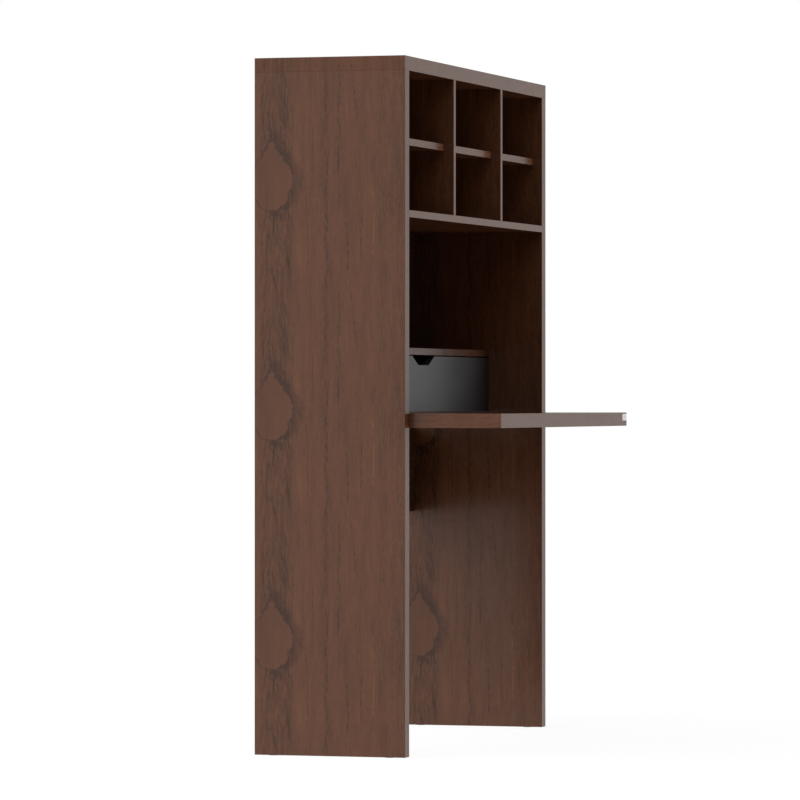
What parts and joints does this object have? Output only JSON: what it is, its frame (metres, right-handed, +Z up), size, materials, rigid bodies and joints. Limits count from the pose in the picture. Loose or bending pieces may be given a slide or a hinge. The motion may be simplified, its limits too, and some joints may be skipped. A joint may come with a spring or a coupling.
{
  "type": "desk hutch",
  "caption": "Tall open desk hutch: a grid of cubbies over a screen bay, a wide shallow drawer with a finger scoop, and a desk top that slides out of the front.",
  "frame": {"origin": "on the floor, in the middle of the footprint of the whole object with its desk top pulled out", "axes": "+Z up, +X to the right as seen from the front, the front faces -Y"},
  "size_m": [1.15, 0.561, 1.55],
  "materials": {
    "walnut_veneer": "satin lacquered walnut veneer",
    "walnut_edge": "satin lacquered walnut edge band",
    "drawer_lacquer": "satin dark grey lacquer on board",
    "drawer_box_board": "matt grey melamine on board",
    "zinc_steel": "zinc plated",
    "nylon": "moulded",
    "rubber": "matt",
    "black_plastic": "moulded",
    "beech": "raw fluted dowel",
    "pale_plastic": "fine satin texture"
  },
  "bodies": {
    "carcass": {"side_panel_left": "walnut_veneer", "side_panel_right": "walnut_veneer", "top_panel": "walnut_veneer", "cubby_floor": "walnut_veneer", "cubby_divider_left": "walnut_veneer", "cubby_divider_right": "walnut_veneer", "cubby_shelf_left": "walnut_veneer", "cubby_shelf_middle": "walnut_veneer", "cubby_shelf_right": "walnut_veneer", "monitor_shelf": "walnut_veneer", "back_panel": "walnut_veneer", "modesty_panel": "walnut_veneer", "side_edge_bands": "walnut_edge", "top_edge_bands": "walnut_edge", "cubby_edge_bands": "walnut_edge", "small_shelf_edge_bands": "walnut_edge", "monitor_shelf_edge_band": "walnut_edge", "foot_glides": "black_plastic", "cam_caps": "walnut_edge", "cam_locks": "zinc_steel", "cam_bolts": "zinc_steel", "panel_dowels": "beech", "shelf_pins": "zinc_steel", "back_screws": "zinc_steel", "wall_bracket_left": "zinc_steel", "wall_bracket_right": "zinc_steel", "wall_bracket_screws": "zinc_steel", "guide_channel_left": "zinc_steel", "guide_channel_right": "zinc_steel", "guide_channel_screws": "zinc_steel", "guide_stops": "rubber", "slide_outer_left": "zinc_steel", "slide_outer_right": "zinc_steel", "slide_outer_pads": "nylon", "slide_outer_screws": "zinc_steel"},
    "desk": {"desk_top": "walnut_veneer", "desk_edge_bands": "walnut_edge", "desk_carriage_left": "zinc_steel", "desk_carriage_right": "zinc_steel", "carriage_pads": "nylon", "carriage_screws": "zinc_steel", "corner_insert": "pale_plastic", "corner_insert_screw": "zinc_steel"},
    "drawer": {"drawer_front": "drawer_lacquer", "drawer_box_front": "drawer_box_board", "drawer_box_left": "drawer_box_board", "drawer_box_right": "drawer_box_board", "drawer_box_back": "drawer_box_board", "drawer_bottom": "drawer_box_board", "drawer_front_screws": "zinc_steel", "drawer_box_screws": "zinc_steel", "drawer_bumpers": "rubber", "slide_inner_left": "zinc_steel", "slide_inner_right": "zinc_steel", "slide_inner_pads": "nylon", "slide_inner_screws": "zinc_steel"},
    "left_slide_stage": {"slide_middle_left": "zinc_steel", "slide_middle_left_pads": "nylon"},
    "right_slide_stage": {"slide_middle_right": "zinc_steel", "slide_middle_right_pads": "nylon"}
  },
  "joints": [
    {"name": "desk_slide", "type": "slide", "parent": "carcass", "child": "desk", "axis": [0, -1, 0], "range_m": [-0.211, 0]},
    {"name": "drawer_slide", "type": "slide", "parent": "carcass", "child": "drawer", "axis": [0, -1, 0], "range_m": [0, 0.15]},
    {"name": "left_stage_slide", "type": "slide", "parent": "carcass", "child": "left_slide_stage", "axis": [0, -1, 0], "range_m": [0, 0.075]},
    {"name": "right_stage_slide", "type": "slide", "parent": "carcass", "child": "right_slide_stage", "axis": [0, -1, 0], "range_m": [0, 0.075]}
  ],
  "couplings": [
    {"joint": "left_stage_slide", "follows": "drawer_slide", "ratio": 0.5},
    {"joint": "right_stage_slide", "follows": "drawer_slide", "ratio": 0.5}
  ]
}
